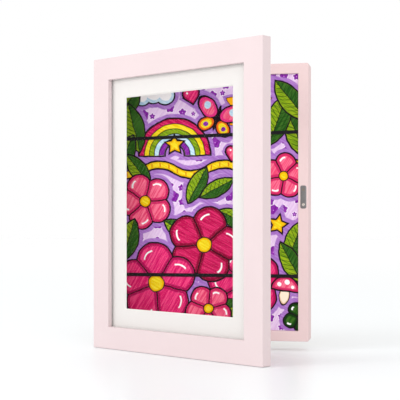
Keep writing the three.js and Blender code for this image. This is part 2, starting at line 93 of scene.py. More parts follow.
# Seats: the play round what is let into the wood, and how far a cutting block goes past the face
FIT = 0.12 * MM
FIT_ALL_ROUND = Vector((FIT, FIT, FIT))
PAST = 1 * MM

# The eased edges of the hinge leaves and the magnet
SMALL_EASE = 0.3 * MM

# Straps: rubber cords side by side under one woven cover
STRAP_WIDTH = 4.6 * MM
STRAP_CORDS = 7
CORD_ROUNDING = 0.24 * MM
STRAP_TILTS = {
    "elastic_strap_lower": 0.0,
    "elastic_strap_upper": math.atan2(6.8, 252),
}

# Screws: the head's radius and depth, the shank's radius and the whole length
SCREW_SETS = {
    "leaf": (1.8 * MM, 0.9 * MM, 0.9 * MM, 8 * MM),
    "strike": (1.9 * MM, 0.8 * MM, 0.9 * MM, 9 * MM),
    "housing": (1.5 * MM, 1.0 * MM, 0.7 * MM, 9 * MM),
    "panel": (1.6 * MM, 1.0 * MM, 0.9 * MM, 10 * MM),
}
SCREW_TWIST = 37  # degrees from one screw's cross to the next
HEAD_PLAY = 0.1 * MM
SINK_DEPTH = 0.8 * MM

# Shares of a screw head's radius: its eased rim, and its cross slot's reach, half width and depth
HEAD_EASE = 0.12
CROSS_REACH = 0.62
CROSS_HALF_WIDTH = 0.15
CROSS_DEPTH = 0.5
CROSS_FLOOR = 0.5  # of the slot's opening, the size of its floor
SCREW_END = 0.25  # of the shank, the size of the screw's end

# Nails
NAIL_HEAD = 1.5 * MM
NAIL_HEAD_HEIGHT = 0.7 * MM
NAIL_DOME = 0.5 * MM
NAIL_SHANK = 0.6 * MM
NAIL_LENGTH = 7 * MM
NAIL_STANDS = 0.3 * MM

# Hinges
LEAF = 1 * MM
BARREL_EASE = 0.14 * MM
KNUCKLE_PLAY = 0.06 * MM
PIN_RADIUS = 0.75 * MM
PIN_HEAD = 1.2 * MM
PIN_HEAD_HEIGHT = 0.6 * MM
PIN_HEAD_EASE = 0.25 * MM

# Magnetic catch
STRIKE_CORNER = 2.4 * MM
STRIKE_RIM = 1.15 * MM
STRIKE_PROUD = 0.3 * MM
HOUSING_CORNER = 3.7 * MM
HOUSING_EASE = 0.35 * MM

# Points that hold the mat
POINT_CORNER = 1.6 * MM
POINT_EASE = 0.1 * MM

# Contents
SHEET_GROUPS = 22
SHEET_SHIFT = 0.4 * MM
SHEET_SHARE = 0.92  # of a group's step, the rest being the dark line between two groups
FOAM_EASE = Vector((0.5, 0.5, 0.5)) * MM
FOAM_ROUNDING = 1.2 * MM
FOAM_VOXEL = 1.8 * MM
PORE_SIZE = 4 * MM
PORE_DEPTH = 0.9 * MM
FOAM_SMOOTH_ANGLE = math.radians(60)
SHEET_EASE = Vector((0.8, 0, 0.8)) * MM  # the drawn sheet reaches nearly to the boards

# Hangers and bumpers
BACK_SEAT = 0.3 * MM  # the nodes stand this far off the case, and the pieces touch it
HANGER_TAB = 9 * MM
HANGER_SLOPE = 2.5 * MM
HANGER_RISE = 1.3 * MM
HANGER_THICK = 0.8 * MM
HANGER_CORNER = 1.6 * MM
NOTCHES = 7
NOTCH_PITCH = 2.6 * MM
NOTCH_HALF = 1.15 * MM
NOTCH_DEPTH = 1.6 * MM
NOTCH_TOOL = 8 * MM
BUMPER_ROUNDING = 1.3 * MM


# Frame places
def body_of(node):
    return next(name for name, body in bodies.items() if nodes[node].parent is body)


def shut_box(*names):
    """The lowest and highest corner of some nodes, with the door drawn shut."""
    corners = []
    for name in names:
        turn = swing_shut if body_of(name) == "door" else Matrix.Identity(4)
        corners += [turn @ vertex.co for vertex in nodes[name].data.vertices]
    low = Vector([min(corner[axis] for corner in corners) for axis in range(3)])
    high = Vector([max(corner[axis] for corner in corners) for axis in range(3)])
    return low, high


def middle_of(node):
    low, high = shut_box(node)
    return (low + high) / 2


# Modelling
def deselect():
    bpy.ops.object.select_all(action="DESELECT")


def pick(piece):
    deselect()
    piece.select_set(True)
    bpy.context.view_layer.objects.active = piece


def settle(name):
    """Names the new primitive and writes its place into its mesh."""
    piece = bpy.context.object
    piece.name = name
    piece.data.name = name
    bpy.ops.object.transform_apply(location=True, rotation=True, scale=True)
    return piece


def block(name, low, high):
    low, high = Vector(low), Vector(high)
    deselect()
    bpy.ops.mesh.primitive_cube_add(size=1, location=(low + high) / 2, scale=high - low)
    return settle(name)


def drum(name, middle, radius, depth, sides=32, upright=False):
    turn = (0, 0, 0) if upright else (math.pi / 2, 0, 0)
    deselect()
    bpy.ops.mesh.primitive_cylinder_add(
        vertices=sides, radius=radius, depth=depth, location=middle, rotation=turn
    )
    return settle(name)


def shape(piece, kind, test, operator, **settings):
    """Runs one edit mode operator on the faces, edges or vertices that pass a test."""
    pick(piece)
    bpy.ops.object.mode_set(mode="EDIT")
    bpy.ops.mesh.select_mode(type=kind)
    bpy.ops.mesh.select_all(action="DESELECT")
    mesh = bmesh.from_edit_mesh(piece.data)
    elements = {"VERT": mesh.verts, "EDGE": mesh.edges, "FACE": mesh.faces}[kind]
    for element in elements:
        if test(element):
            element.select_set(True)
    mesh.select_flush_mode()
    bmesh.update_edit_mesh(piece.data)
    operator(**settings)
    bpy.ops.object.mode_set(mode="OBJECT")
    return piece


def everything(element):
    return True


def runs_along(edge, axis):
    run = (edge.verts[1].co - edge.verts[0].co).normalized()
    return abs(run[axis]) > STRAIGHT


def runs_deep(edge):
    """Whether an edge runs from front to back."""
    return runs_along(edge, 1)


def lies_at(edge, axis, value):
    """Whether an edge lies in a plane across an axis."""
    return all(abs(vertex.co[axis] - value) < TINY for vertex in edge.verts)


def is_sharp(edge):
    return edge.calc_face_angle(0) > SHARP_ANGLE


def sharp_at(depth):
    """Tests for the sharp edges at one depth."""
    return lambda edge: is_sharp(edge) and lies_at(edge, 1, depth)


def upright_rim(edge):
    """Whether an edge goes round the end of an upright drum."""
    return is_sharp(edge) and not runs_along(edge, 2)


def faces_front(face):
    return face.normal.y < -FACING


def faces_back(face):
    return face.normal.y > FACING


def bevel(piece, test, width, steps=3):
    return shape(
        piece, "EDGE", test, bpy.ops.mesh.bevel, offset=width, segments=steps, affect="EDGES"
    )


def inset(piece, test, width, depth=0.0):
    return shape(piece, "FACE", test, bpy.ops.mesh.inset, thickness=width, depth=depth)


def extrude(piece, test, way):
    return shape(
        piece, "FACE", test, bpy.ops.mesh.extrude_region_move, TRANSFORM_OT_translate={"value": way}
    )


def taper(piece, test, share, depth):
    """Shrinks faces across the depth, about a middle at a depth."""
    return shape(piece, "FACE", test, bpy.ops.transform.resize,
                 value=(share, 1, share), center_override=(0, depth, 0))


def split(piece, point, normal, **settings):
    """Adds edges where a plane meets a piece."""
    return shape(piece, "FACE", everything, bpy.ops.mesh.bisect, plane_co=point, plane_no=normal,
                 threshold=TINY, **settings)


def trim(piece, point, normal):
    """Cuts a piece at a plane, drops what lies on the normal's side and closes the cut."""
    return split(piece, point, normal, use_fill=True, clear_outer=True)


def modify(piece, kind, **settings):
    """Adds a modifier and applies it."""
    pick(piece)
    modifier = piece.modifiers.new(kind.lower(), kind)
    for name, value in settings.items():
        setattr(modifier, name, value)
    bpy.ops.object.modifier_apply(modifier=modifier.name)


def remove(piece):
    bpy.data.objects.remove(piece)


def combine(piece, tools, operation="DIFFERENCE"):
    for tool in tools:
        modify(piece, "BOOLEAN", operation=operation, solver="EXACT", object=tool)
        remove(tool)
    return piece


def copy_of(piece, name, move=Matrix.Identity(4)):
    twin = piece.copy()
    twin.data = piece.data.copy()
    twin.name = name
    twin.data.name = name
    bpy.context.scene.collection.objects.link(twin)
    twin.data.transform(move)
    return twin


def merge(pieces, name):
    deselect()
    for piece in pieces:
        piece.select_set(True)
    bpy.context.view_layer.objects.active = pieces[0]
    bpy.ops.object.join()
    pieces[0].name = name
    return pieces[0]


def smooth(piece, angle, weighted):
    pick(piece)
    bpy.ops.object.shade_smooth_by_angle(angle=angle)
    if weighted:
        modify(piece, "WEIGHTED_NORMAL", keep_sharp=True)


def dress(mesh, finish):
    mesh.materials.clear()
    mesh.materials.append(finish)


def place(piece, node, finish, angle=SMOOTH_ANGLE, weighted=True):
    """Puts a finished piece where its node is: on the same body, and turned open with the door."""
    body = body_of(node)
    if body == "door":
        piece.matrix_world = swing_open
        pick(piece)
        bpy.ops.object.transform_apply(location=True, rotation=True, scale=True)
    smooth(piece, angle, weighted)
    dress(piece.data, finish)
    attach(piece, body)
    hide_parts(node)


# Shader nodes
class Wire:
    """A socket, which Python's own operators join to others through Math nodes."""

    def __init__(self, finish, socket):
        self.finish = finish
        self.socket = socket

    def calc(self, operation, *values):
        inputs = dict(enumerate(values))
        return self.finish.node("ShaderNodeMath", {"operation": operation}, inputs)

    def __add__(self, other):
        return self.calc("ADD", self, other)

    def __radd__(self, other):
        return self.calc("ADD", other, self)

    def __sub__(self, other):
        return self.calc("SUBTRACT", self, other)

    def __rsub__(self, other):
        return self.calc("SUBTRACT", other, self)

    def __mul__(self, other):
        return self.calc("MULTIPLY", self, other)

    def __rmul__(self, other):
        return self.calc("MULTIPLY", other, self)

    def __truediv__(self, other):
        return self.calc("DIVIDE", self, other)

    def __rtruediv__(self, other):
        return self.calc("DIVIDE", other, self)

    def __neg__(self):
        return self.calc("MULTIPLY", self, -1)

    def __abs__(self):
        return self.calc("ABSOLUTE", self)

    def other(self, output):
        """Another output of the node that this socket belongs to."""
        return Wire(self.finish, self.socket.node.outputs[output])

    def least(self, other):
        return self.calc("MINIMUM", self, other)

    def most(self, other):
        return self.calc("MAXIMUM", self, other)


def tint(red, green, blue):
    """A colour in a picture's own 0 to 255, as the linear colour that a shader takes."""
    linear = [
        share / 12.92 if share <= 0.04045 else ((share + 0.055) / 1.055) ** 2.4
        for share in (red / 255, green / 255, blue / 255)
    ]
    return (*linear, 1)


def darker(colour, share):
    return (*[share * part for part in colour[:3]], 1)


class Finish:
    """A material, built from nodes. Its lengths are millimetres in the piece's own coordinates."""

    def __init__(self, name):
        self.material = bpy.data.materials.new(name)
        self.material.use_nodes = True
        self.tree = self.material.node_tree
        self.tree.nodes.clear()
        coordinates = self.node("ShaderNodeTexCoord", output="Object")
        self.spot = self.vector("SCALE", coordinates, Scale=1 / MM)

    def node(self, kind, settings=None, values=None, output=0):
        made = self.tree.nodes.new(kind)
        for name, value in (settings or {}).items():
            setattr(made, name, value)
        for name, value in (values or {}).items():
            if isinstance(value, Wire):
                self.tree.links.new(value.socket, made.inputs[name])
            else:
                made.inputs[name].default_value = value
        return Wire(self, made.outputs[output]) if made.outputs else None

    def vector(self, operation, *values, output=0, **named):
        inputs = {**dict(enumerate(values)), **named}
        return self.node("ShaderNodeVectorMath", {"operation": operation}, inputs, output)

    def stretched(self, scale, turn=(0, 0, 0)):
        values = {"Vector": self.spot, "Scale": scale, "Rotation": turn}
        return self.node("ShaderNodeMapping", {}, values)

    def noise(self, scale, detail=2, spot=None, rough=0.5, output=0):
        values = {"Vector": spot or self.spot, "Scale": scale, "Detail": detail, "Roughness": rough}
        return self.node("ShaderNodeTexNoise", {}, values, output)

    def cells(self, scale, output="Distance"):
        values = {"Vector": self.spot, "Scale": scale}
        return self.node("ShaderNodeTexVoronoi", {}, values, output)

    def axes(self, vector):
        first = self.node("ShaderNodeSeparateXYZ", {}, {0: vector})
        return first, first.other(1), first.other(2)

    def wave(self, value, pitch):
        """A smooth wave between 0 and 1 that repeats at a pitch."""
        turn = value * (2 * math.pi / pitch)
        return turn.calc("SINE", turn) * 0.5 + 0.5

    def spread(self, value, low, high, to_low=0.0, to_high=1.0, soft=False):
        settings = {"interpolation_type": "SMOOTHSTEP" if soft else "LINEAR"}
        values = {"Value": value, 1: low, 2: high, 3: to_low, 4: to_high}
        return self.node("ShaderNodeMapRange", settings, values)

    def mix(self, first, second, share):
        values = {0: share, 6: first, 7: second}
        return self.node("ShaderNodeMix", {"data_type": "RGBA"}, values, 2)

    def stain(self, base, colour, pattern, low, high, strength=1.0):
        """Brings a second colour in where a pattern is high."""
        return self.mix(base, colour, self.spread(pattern, low, high, 0.0, strength))

    def bump(self, height, depth, under=None):
        values = {"Height": height, "Distance": depth * MM, "Strength": 1.0}
        if under is not None:
            values["Normal"] = under
        return self.node("ShaderNodeBump", {}, values)

    def done(self, shader):
        self.node("ShaderNodeOutputMaterial", {}, {"Surface": shader})
        return self.material

    def coated(self, colour, rough, relief=None, **more):
        """The finished material, as one solid surface."""
        inputs = {"Base Color": colour, "Roughness": rough}
        if relief is not None:
            inputs["Normal"] = relief
        for name, value in more.items():
            inputs[name.replace("_", " ")] = value
        return self.done(self.node("ShaderNodeBsdfPrincipled", {}, inputs))


# Finishes
def sprayed_paint(name, colour, level):
    """Matt paint sprayed on planed wood: the grain still shows a little, and runs with the bar."""
    finish = Finish(name)
    across = (0.05, 1.1, 1.1) if level else (1.1, 1.1, 0.05)
    grain = finish.noise(1.0, 3, finish.stretched(across))
    peel = finish.noise(0.9, 1)
    cloud = finish.noise(0.02, 2)
    speck = finish.noise(0.5, 4)
    shade = darker(colour, 0.965)
    base = finish.stain(colour, shade, cloud, 0.35, 0.7, 0.5)
    base = finish.stain(base, shade, grain, 0.55, 0.75, 0.35)
    base = finish.stain(base, shade, speck, 0.66, 0.74, 0.3)
    rough = finish.spread(peel, 0.3, 0.7, 0.5, 0.6)
    relief = finish.bump(peel, 0.02, finish.bump(grain, 0.03))
    return finish.coated(base, rough, relief, Specular_IOR_Level=0.05)


def clear_acrylic(name):
    """Thin clear sheet: what shows is a faint gloss."""
    finish = Finish(name)
    haze = finish.noise(0.05, 2)
    gloss_rough = finish.spread(haze, 0.3, 0.7, 0.02, 0.05)
    clear = finish.node("ShaderNodeBsdfTransparent", {}, {"Color": (0.995, 0.998, 0.998, 1)})
    gloss = finish.node("ShaderNodeBsdfGlossy", {}, {"Roughness": gloss_rough})
    edge_on = finish.node("ShaderNodeLayerWeight", {}, {"Blend": 0.5}, "Facing")
    share = 0.4 * edge_on.calc("POWER", edge_on, 5) + 0.001
    return finish.done(finish.node("ShaderNodeMixShader", {}, {0: share, 1: clear, 2: gloss}))


def mat_board(name):
    """Pressed white board with a fine tooth, and a whiter core where the window is cut."""
    finish = Finish(name)
    tooth = finish.noise(2.4, 4, rough=0.7)
    fibre = finish.noise(1.0, 3, finish.stretched((0.5, 0.5, 2.0), (0, 0.6, 0)))
    face = finish.stain(tint(224, 219, 216), tint(217, 212, 209), fibre, 0.35, 0.75, 0.35)
    facing = finish.node("ShaderNodeTexCoord", output="Normal")
    ahead = tuple(swing_open.to_3x3() @ Vector((0, 1, 0)))
    flat = abs(finish.vector("DOT_PRODUCT", facing, ahead, output="Value"))
    base = finish.stain(tint(231, 228, 224), face, flat, 0.8, 0.9)
    return finish.coated(base, 0.9, finish.bump(tooth, 0.03))


def plated_steel(name, colour, low_rough, high_rough):
    """Zinc-plated sheet, brushed upwards, with the cloudy crystals of the plating."""
    finish = Finish(name)
    brush = finish.noise(1.0, 2, finish.stretched((4.0, 4.0, 0.15)))
    cloud = finish.axes(finish.cells(0.7, "Color"))[0]
    dark = darker(colour, 0.72)
    base = finish.stain(colour, dark, brush, 0.3, 0.8, 0.5)
    base = finish.mix(base, dark, cloud * 0.25)
    rough = finish.spread(brush + 0.3 * cloud, 0.3, 1.0, low_rough, high_rough)
    return finish.coated(base, rough, finish.bump(brush, 0.01), Metallic=1.0)


def magnet_grey(name):
    """Sintered magnet, a dark and slightly gritty grey."""
    finish = Finish(name)
    grit = finish.noise(3.0, 3)
    base = finish.stain(tint(58, 58, 62), tint(88, 87, 90), grit, 0.4, 0.7)
    return finish.coated(base, 0.5, finish.bump(grit, 0.03), Metallic=0.6)


def moulded_plastic(name, colour):
    """White plastic with the fine texture of its mould."""
    finish = Finish(name)
    texture = finish.noise(3.5, 2)
    base = finish.stain(colour, darker(colour, 0.93), finish.noise(0.3, 2), 0.4, 0.7)
    rough = finish.spread(texture, 0.3, 0.7, 0.34, 0.48)
    return finish.coated(base, rough, finish.bump(texture, 0.02))


def woven_elastic(name):
    """Black elastic: fine cross threads over rubber cords."""
    finish = Finish(name)
    thread = finish.wave(finish.axes(finish.spot)[0], 0.55)
    fuzz = finish.noise(6.0, 3)
    base = finish.mix(tint(14, 12, 15), tint(44, 41, 45), thread * 0.5 + fuzz * 0.35)
    relief = finish.bump(thread + 0.5 * fuzz, 0.06)
    return finish.coated(base, 0.85, relief, Specular_IOR_Level=0.2)


def paper(name, colour, pitch):
    """Plain paper. Its edges show as fine lines, one for each few sheets."""
    finish = Finish(name)
    lines = finish.wave(finish.axes(finish.spot)[1], pitch)
    fibre = finish.noise(2.0, 4)
    share = finish.spread(fibre, 0.4, 0.8, 0.0, 0.4) + lines * 0.25
    base = finish.mix(colour, darker(colour, 0.9), share)
    return finish.coated(base, 0.9, finish.bump(fibre + lines, 0.03))


def pressed_hardboard(name):
    """Brown pressed fibre board."""
    finish = Finish(name)
    fibre = finish.noise(1.2, 5, rough=0.7)
    strand = finish.noise(1.0, 3, finish.stretched((0.25, 1.0, 1.6), (0, 0.8, 0)))
    base = finish.stain(tint(176, 134, 92), tint(140, 100, 64), fibre, 0.35, 0.7)
    base = finish.stain(base, tint(206, 168, 124), strand, 0.6, 0.75, 0.5)
    return finish.coated(base, 0.78, finish.bump(fibre, 0.05))


def open_foam(name):
    """Grey open-cell foam."""
    finish = Finish(name)
    pore = finish.cells(1.6)
    grit = finish.noise(3.0, 3)
    # The pores are darker where the bump dips into them: painted shade in the hollows
    base = finish.stain(tint(70, 71, 74), tint(122, 123, 126), pore, 0.1, 0.6)
    return finish.coated(base, 0.95, finish.bump(pore + 0.3 * grit, 0.3))


def clear_rubber(name):
    """Soft clear bumper, slightly cloudy."""
    finish = Finish(name)
    cloud = finish.noise(0.8, 2)
    base = finish.stain(tint(226, 230, 231), tint(206, 212, 214), cloud, 0.35, 0.7)
    return finish.coated(base, 0.25, finish.bump(cloud, 0.05), Coat_Weight=0.3)


def white_floor(name):
    """Satin white board, paler far from the lamps."""
    finish = Finish(name)
    cloud = finish.noise(0.004, 2)
    near = finish.mix(tint(244, 247, 248), tint(242, 245, 246), cloud)
    far = finish.vector("LENGTH", finish.spot, output="Value")
    base = finish.stain(near, tint(255, 255, 255), far, 300, 3500)
    return finish.coated(base, 0.3, Specular_IOR_Level=0.12)


# The front drawing, in millimetres from the sheet's middle and degrees
INK = tint(26, 15, 24)
WHITE = tint(252, 250, 250)
HAND_SHAKE = 0.9
HAND_PITCH = 16
INK_WIDTH = 2.2
HALO_WIDTH = 5.0
SCATTER_PITCH = 20
VEIN_PITCH = 6.5
PETAL_SHARE = 0.56  # of a blossom's reach, from its middle to the middle of a petal
HEART_SHARE = 0.19  # of a blossom's reach, the radius of its middle
SHAPE_PAST = 11  # how far a shape's line, halo and wobble go past its own reach
TILE_COLUMNS = [-200, 40, 200]  # where the sheet's tiles begin and end
TILE_ROWS = [-300, -25, 62, 300]


class Drawing(Finish):
    """One tile of a sheet of felt-pen shapes on a lilac ground, each shape drawn over those before it."""

    def __init__(self, name, middle, low, high):
        super().__init__(name)
        self.low, self.high = low, high
        x, y, z = self.axes(self.vector("SUBTRACT", self.spot, tuple(middle / MM)))
        self.flat = self.node("ShaderNodeCombineXYZ", {}, {0: x, 1: z})
        steep, shallow = self.strokes(1.05, 2.2), self.strokes(-0.5, 2.0)
        self.magenta = self.mix(tint(214, 22, 98), tint(240, 70, 132), steep)
        self.crimson = self.mix(tint(182, 14, 74), tint(218, 44, 104), shallow)
        self.rose = self.mix(tint(232, 66, 110), tint(246, 118, 148), steep)
        self.lime = self.mix(tint(104, 142, 20), tint(152, 178, 28), shallow)
        self.green = self.mix(tint(28, 80, 18), tint(60, 106, 34), steep)
        self.yellow = self.mix(tint(232, 196, 0), tint(244, 222, 50), shallow)
        self.sky = self.mix(tint(170, 208, 232), tint(206, 228, 240), shallow)
        self.purple = self.mix(tint(118, 26, 146), tint(144, 52, 168), steep)
        self.halo = self.mix(tint(176, 128, 200), tint(156, 104, 186), shallow)
        self.picture = self.mix(tint(229, 204, 233), tint(215, 180, 223), steep * 0.8)
        self.scatter(SCATTER_PITCH)
        shake = self.noise(1 / HAND_PITCH, 2, self.flat, output=1)
        shake = self.vector("SUBTRACT", shake, (0.5, 0.5, 0.5))
        reach = 4 * HAND_SHAKE
        hand = self.vector("MULTIPLY_ADD", shake, (reach, reach, 0), self.flat)
        self.u, self.v = self.axes(hand)[:2]
        self.ground = self.spread(self.v, -1e4, -1e3)  # 1 where nothing is inked yet

    def reaches(self, u, v, reach):
        """Whether a shape comes near this tile. A band right across the sheet has no u."""
        across = 0 if u is None else max(self.low[0] - u, u - self.high[0], 0)
        up = max(self.low[1] - v, v - self.high[1], 0)
        return math.hypot(across, up) < reach + SHAPE_PAST

    def strokes(self, turn, width):
        """Streaks left by a felt pen that is drawn back and forth."""
        lined = self.node("ShaderNodeMapping", {"vector_type": "TEXTURE"}, {
            "Vector": self.flat, "Rotation": (0, 0, turn), "Scale": (14 * width, width, 1)})
        return self.spread(self.noise(1.0, 2, lined), 0.4, 0.6)

    def scatter(self, pitch):
        """Small purple blossoms on the bare ground, one in each cell, each with a thin pale rim."""
        scaled = self.vector("SCALE", self.flat, Scale=1 / pitch)
        nearest = self.node("ShaderNodeTexVoronoi", {"voronoi_dimensions": "2D"}, {
            "Vector": scaled, "Scale": 1.0, "Randomness": 0.62})
        chance = self.axes(nearest.other(1))[0]
        x, y = self.axes(self.vector("SUBTRACT", scaled, nearest.other(2)))[:2]
        bearing = y.calc("ARCTAN2", y, x) * 5
        far = nearest * pitch
        edge = far - (2.6 + 5.4 * chance) - bearing.calc("SINE", bearing) * 0.8
        self.lay(tint(243, 228, 245), self.mask(edge, 1.0))
        self.lay(self.purple, self.mask(edge))
        self.lay(tint(196, 120, 214), self.mask(far, 0.8))

    def sum_of(self, first, times, second, times_second, more):
        """first * times + second * times_second + more, in two nodes."""
        part = second.calc("MULTIPLY_ADD", second, times_second, more)
        return first.calc("MULTIPLY_ADD", first, times, part)

    def local(self, u, v, turn=0.0, x=None, y=None):
        """Places measured from a point, along and across a direction."""
        x, y = x or self.u, y or self.v
        cos, sin = math.cos(math.radians(turn)), math.sin(math.radians(turn))
        along = self.sum_of(x, cos, y, sin, -u * cos - v * sin)
        across = self.sum_of(x, -sin, y, cos, u * sin - v * cos)
        return along, across

    def far(self, x, y):
        return x.calc("SQRT", x.calc("MULTIPLY_ADD", x, x, y * y))

    def apart(self, x, y, u, v):
        """How far a place is from a point."""
        return self.far(x - u, y - v)

    def oval(self, x, y, u, v, turn, long, wide):
        along, across = self.local(u, v, turn, x, y)
        return (self.far(along / long, across / wide) - 1) * wide

    def mask(self, distance, offset=0.0, soft=0.3):
        return self.spread(distance, offset + soft, offset - soft)

    def lay(self, colour, share):
        self.picture = self.mix(self.picture, colour, share)

    def outline(self, distance, ink=INK_WIDTH, halo=HALO_WIDTH):
        """A black line round a shape, and a darker halo beyond it where the ground is bare."""
        self.lay(self.halo, self.mask(distance, ink + halo, 0.6) * self.ground)
        inked = self.mask(distance, ink)
        self.lay(INK, inked)
        self.ground = self.ground * (1 - inked)

    def fill(self, distance, edge_colour, colour, band):
        """Two felt pens inside a shape: one along its edge and one over the rest."""
        self.lay(edge_colour, self.mask(distance))
        self.lay(colour, self.mask(distance, -band, 0.7))

    def motif(self, distance, edge_colour, colour, band, **line):
        self.outline(distance, **line)
        self.fill(distance, edge_colour, colour, band)

    def disc(self, x, y, radius, edge_colour, colour, band, ink):
        distance = self.apart(x, y, 0, 0)
        self.lay(INK, self.mask(distance, radius + ink))
        self.fill(distance - radius, edge_colour, colour, band)

    def dot(self, x, y, u, v, radius, colour):
        self.lay(colour, self.mask(self.apart(x, y, u, v), radius))

    def sector(self, x, y, copies):
        """Folds places round a point into one sector: how far out, and the bearing from its middle."""
        half = math.pi / copies
        return self.far(x, y), y.calc("WRAP", y.calc("ARCTAN2", y, x), half, -half)

    def from_bearing(self, far, bearing):
        """Places along and across a sector's middle."""
        return far * far.calc("COSINE", bearing), far * far.calc("SINE", bearing)

    def blossom(self, u, v, reach, turn, petals, edge_colour, colour, heart=None, band=3.4):
        """Round petals, each with a curved gleam, about a round heart."""
        x, y = self.local(u, v, turn)
        far, bearing = self.sector(x, y, petals)
        along, across = self.from_bearing(far, bearing)
        middle = PETAL_SHARE * reach
        radius = reach - middle
        spoke = self.apart(along, across, middle, 0)
        edge = spoke - radius
        valley = far * (abs(bearing) - math.pi / petals) + 0.8
        self.outline(edge)
        self.fill(edge.most(valley), edge_colour, colour, band)
        window = self.apart(along, across, middle + 0.42 * radius, 0.42 * radius) - 0.34 * radius
        self.lay(WHITE, self.mask((abs(spoke - 0.6 * radius) - 1.1).most(window)))
        if heart:
            self.disc(x, y, HEART_SHARE * reach, *heart, 2.2, 1.5)

    def leaf(self, u, v, long, wide, turn):
        """A pointed leaf: two arcs, a lighter and a darker half, a midrib and side veins."""
        x, y = self.local(u, v, turn)
        rise = abs(y)
        bow = (long * long + wide * wide) / (2 * wide)
        edge = self.far(x, rise + (bow - wide)) - bow
        self.outline(edge)
        inside = self.mask(edge)
        self.lay(self.lime, inside)
        self.lay(self.green, inside.least(self.mask(y)))
        rib = (x - 0.8 * rise) * (2 * math.pi / VEIN_PITCH)
        vein = self.mask(rib.calc("SINE", rib), 0.9, -0.06)
        self.lay(tint(30, 62, 14), vein.least(self.mask(edge, -1.2)))
        self.lay(INK, self.mask((rise - 0.55).most(edge)))

    def star(self, u, v, reach, turn):
        x, y = self.local(u, v, turn)
        far, bearing = self.sector(x, y, 5)
        along, across = self.from_bearing(far, abs(bearing))
        half, waist = math.pi / 5, 0.5 * reach
        run = Vector((waist * math.cos(half) - reach, waist * math.sin(half))).normalized()
        edge = self.sum_of(along, run.y, across, -run.x, -reach * run.y)
        self.motif(edge, tint(232, 170, 0), self.yellow, 1.8)

    def heart(self, u, v, size, turn, edge_colour, colour):
        x, y = self.local(u, v, turn)
        side = abs(x)
        tip = (side + abs(y - 0.05 * size) - 0.95 * size) * 0.7
        edge = (self.apart(side, y, 0.45 * size, 0.42 * size) - 0.56 * size).least(tip)
        self.motif(edge, edge_colour, colour, 1.6, halo=3.0)
        self.dot(x, y, -0.45 * size, 0.5 * size, 0.13 * size, WHITE)

    def cloud(self, u, v, reach):
        edge = None
        for across, up, radius in ((-0.55, -0.06, 0.4), (0, 0.17, 0.54), (0.57, -0.03, 0.4)):
            lobe = self.apart(self.u, self.v, u + across * reach, v + up * reach) - radius * reach
            edge = lobe if edge is None else edge.least(lobe)
        self.motif(edge, self.sky, WHITE, 4.0)

    def rainbow(self, u, v, outer, band):
        colours = (self.crimson, self.yellow, self.lime, self.sky, self.purple)
        x, y = self.local(u, v)
        far = self.far(x, y)
        width = band * len(colours)
        edge = (abs(far - (outer - width / 2)) - width / 2).most(-y)
        self.outline(edge)
        inside = self.mask(edge)
        for count, colour in enumerate(colours):
            self.lay(colour, inside.least(self.mask(far, outer - count * band)))
        seam = band / 2 - far.calc("PINGPONG", far - (outer - width) + band / 2, band / 2)
        self.lay(INK, inside.least(self.mask(seam, 0.6)))

    def sun(self, u, v, reach, radius, rays):
        x, y = self.local(u, v, 7)
        far = self.far(x, y)
        half = math.pi / rays
        slope = y.calc("PINGPONG", y.calc("ARCTAN2", y, x), half) * ((reach - radius - 3) / half)
        beam = far - (radius + 3) - slope
        self.motif(beam, tint(244, 150, 0), tint(250, 180, 20), 1.6, ink=1.4)
        self.disc(x, y, radius, tint(244, 196, 0), self.yellow, 3.2, 1.6)

    def ribbon(self, u, v, reach, half, pitch):
        """A wavy yellow band right across the sheet, which is why its u is None."""
        turn = self.u * (2 * math.pi / pitch)
        wave = turn.calc("SINE", turn) * (reach - half)
        edge = (abs(self.v - wave - v) - half) * 0.85
        self.motif(edge, tint(230, 180, 0), self.yellow, 1.4)
        bar = self.mask(5.2 - turn.calc("PINGPONG", self.u, 6))
        self.lay(tint(214, 120, 20), bar.least(self.mask(edge, -1.2)))

    def butterfly(self, u, v, reach, turn):
        size = reach / 1.1
        x, y = self.local(u, v, turn)
        side = abs(x)
        upper = self.oval(side, y, 0.56 * size, 0.36 * size, 36, 0.52 * size, 0.34 * size)
        lower = self.oval(side, y, 0.4 * size, -0.38 * size, -43, 0.36 * size, 0.27 * size)
        self.outline(upper.least(lower))
        self.fill(lower, tint(230, 96, 20), self.yellow, 2.2)
        self.lay(INK, self.mask(upper, 1.2))
        self.fill(upper, tint(226, 49, 127), self.rose, 2.6)
        self.dot(side, y, 0.62 * size, 0.44 * size, 0.17 * size, self.sky)
        self.dot(side, y, 0.42 * size, -0.4 * size, 0.11 * size, self.purple)
        self.lay(INK, self.mask(self.oval(x, y, 0, 0, 0, 0.09 * size, 0.62 * size), 0, 0.15))

    def mushroom(self, u, v, size, turn, cap_edge, cap):
        x, y = self.local(u, v, turn)
        stem = self.oval(x, y, 0, -0.42 * size, 0, 0.34 * size, 0.62 * size)
        self.motif(stem, tint(226, 186, 150), tint(248, 232, 208), 1.6)
        dome = (self.apart(x, y, 0, -0.1 * size) - 0.98 * size).most(-0.06 * size - y)
        self.motif(dome, cap_edge, cap, 2.8)
        for across, up, radius in ((-0.45, 0.3, 0.15), (0.08, 0.52, 0.19), (0.52, 0.22, 0.13)):
            self.dot(x, y, across * size, up * size, radius * size, WHITE)


